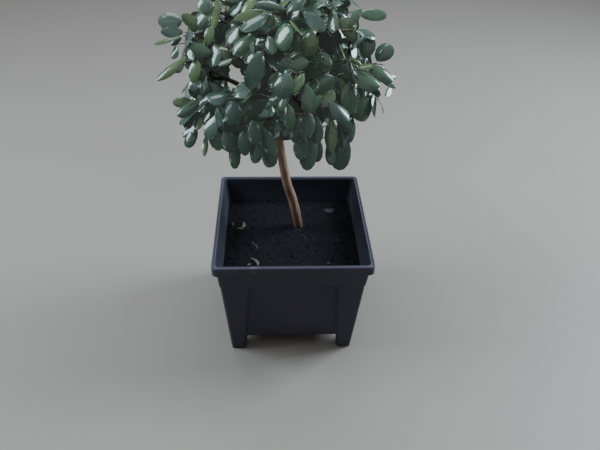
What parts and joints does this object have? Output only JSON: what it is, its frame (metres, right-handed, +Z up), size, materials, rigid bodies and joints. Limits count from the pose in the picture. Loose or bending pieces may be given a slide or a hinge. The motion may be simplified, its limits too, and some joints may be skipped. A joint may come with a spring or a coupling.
{
  "type": "potted lollipop topiary",
  "caption": "Standard topiary: a round crown of glossy leaves on a bare leaning trunk, in a square moulded planter with a rim collar and corner legs.",
  "frame": {"origin": "on the floor, under the middle of the whole plant's box; the planter's own middle is at x 36.7 mm, y -34.3 mm", "axes": "+Z up along the plant's height; +X and +Y square to the planter's sides, with the side seen in the picture facing -Y"},
  "size_m": [0.4428, 0.4252, 0.7772],
  "materials": {
    "planter": "satin",
    "compost": "matte",
    "bark": "matte",
    "foliage": "satin"
  },
  "bodies": {
    "root": {"planter": "planter", "compost": "compost", "trunk": "bark", "leader": "bark", "bough_low_1": "bark", "bough_low_2": "bark", "bough_low_3": "bark", "bough_low_4": "bark", "bough_low_5": "bark", "bough_mid_1": "bark", "bough_mid_2": "bark", "bough_mid_3": "bark", "bough_mid_4": "bark", "bough_mid_5": "bark", "bough_high_1": "bark", "bough_high_2": "bark", "bough_high_3": "bark", "foliage_low_1": "foliage", "foliage_low_2": "foliage", "foliage_low_3": "foliage", "foliage_low_4": "foliage", "foliage_low_5": "foliage", "foliage_mid_1": "foliage", "foliage_mid_2": "foliage", "foliage_mid_3": "foliage", "foliage_mid_4": "foliage", "foliage_mid_5": "foliage", "foliage_high_1": "foliage", "foliage_high_2": "foliage", "foliage_high_3": "foliage", "foliage_top": "foliage"}
  },
  "joints": []
}
